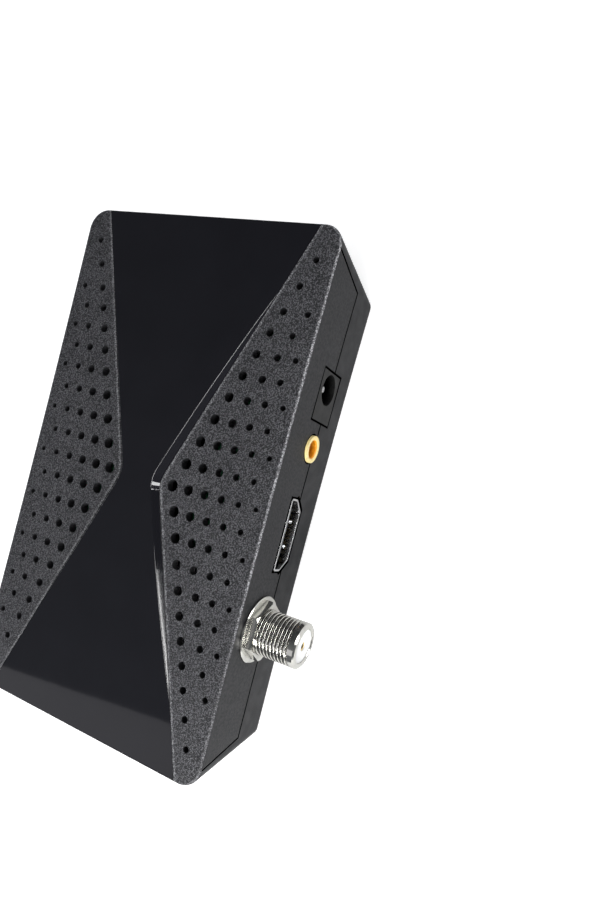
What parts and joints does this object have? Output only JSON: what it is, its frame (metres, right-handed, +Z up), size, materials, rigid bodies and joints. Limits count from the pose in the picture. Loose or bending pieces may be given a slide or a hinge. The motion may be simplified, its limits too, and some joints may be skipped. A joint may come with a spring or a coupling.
{
  "type": "satellite tv receiver",
  "caption": "Small set-top satellite TV receiver with perforated bevelled cover, gloss hourglass panel, threaded aerial socket, HDMI, AV and power sockets.",
  "frame": {"origin": "centre of the whole outline, aerial socket included, at the plane that the feet stand on", "axes": "+X along the case, from the power jack towards the aerial socket; +Y out of the rear wall with the sockets; +Z up"},
  "size_m": [0.1124, 0.074, 0.0249],
  "materials": {
    "tray_plastic": "satin, dark grey moulding",
    "cover_plastic": "spark-eroded fine texture, dark grey",
    "panel_gloss": "piano black, polished",
    "foot_rubber": "matt black rubber",
    "screw_steel": "zinc plated",
    "board_laminate": "green solder mask over glass laminate",
    "nickel": "bright nickel plate",
    "tinplate": "tinned sheet",
    "bright_steel": "bright plated sheet",
    "contact_gold": "gold flash",
    "socket_white": "white insulator",
    "socket_black": "black moulding",
    "jack_yellow": "yellow moulding",
    "window_smoke": "smoked, clear to infrared",
    "display_black": "black display face",
    "digit_green": "unlit segments",
    "receiver_dark": "infrared filter moulding",
    "lamp_red": "tinted lamp",
    "chip_black": "moulded package",
    "pad_grey": "thermal pad",
    "sink_black": "black anodised",
    "coil_grey": "ferrite",
    "cap_silver": "bare can",
    "chip_tan": "fired ceramic"
  },
  "bodies": {
    "case": {"bottom_tray": "tray_plastic", "top_cover": "cover_plastic", "gloss_panel": "panel_gloss", "rubber_feet": "foot_rubber", "case_screws": "screw_steel", "circuit_board": "board_laminate", "board_screws": "screw_steel", "f_barrel": "nickel", "f_insulator": "socket_white", "f_centre_contact": "contact_gold", "tuner_can": "tinplate", "tuner_lid": "tinplate", "hdmi_shell": "bright_steel", "hdmi_tongue": "socket_black", "hdmi_contacts": "contact_gold", "av_jack_ring": "jack_yellow", "av_jack_body": "socket_black", "av_contacts": "contact_gold", "dc_jack_body": "socket_black", "dc_jack_pin": "bright_steel", "usb_shell": "bright_steel", "usb_tongue": "socket_black", "usb_contacts": "contact_gold", "front_window": "window_smoke", "display_case": "display_black", "display_digits": "digit_green", "ir_receiver": "receiver_dark", "standby_led": "lamp_red", "main_chip": "chip_black", "heat_pad": "pad_grey", "heat_sink": "sink_black", "memory_chip": "chip_black", "flash_chip": "chip_black", "crystal": "bright_steel", "power_inductors": "coil_grey", "electrolytic_caps": "cap_silver", "regulator_chips": "chip_black", "rectifier_diodes": "chip_black", "chip_parts": "chip_tan"},
    "washer": {"f_washer": "nickel"},
    "nut": {"f_nut": "nickel"},
    "leaf": {"dc_jack_leaf": "bright_steel"}
  },
  "joints": [
    {"name": "washer_travel", "type": "slide", "parent": "case", "child": "washer", "axis": [0, 1, 0], "range_m": [0, 0.00714]},
    {"name": "nut_turn", "type": "hinge", "parent": "washer", "child": "nut", "pos_m": [0.0239, 0.02745, 0.0143], "axis": [0, 1, 0], "range_deg": [0, 3240]},
    {"name": "leaf_flex", "type": "hinge", "parent": "case", "child": "leaf", "pos_m": [-0.0273, 0.01557, 0.0147], "axis": [1, 0, 0], "range_deg": [0, 5], "stiffness_Nm_per_rad": 0.05}
  ],
  "couplings": [
    {"joint": "nut_turn", "follows": "washer_travel", "rad_per_m": 7915.8}
  ]
}
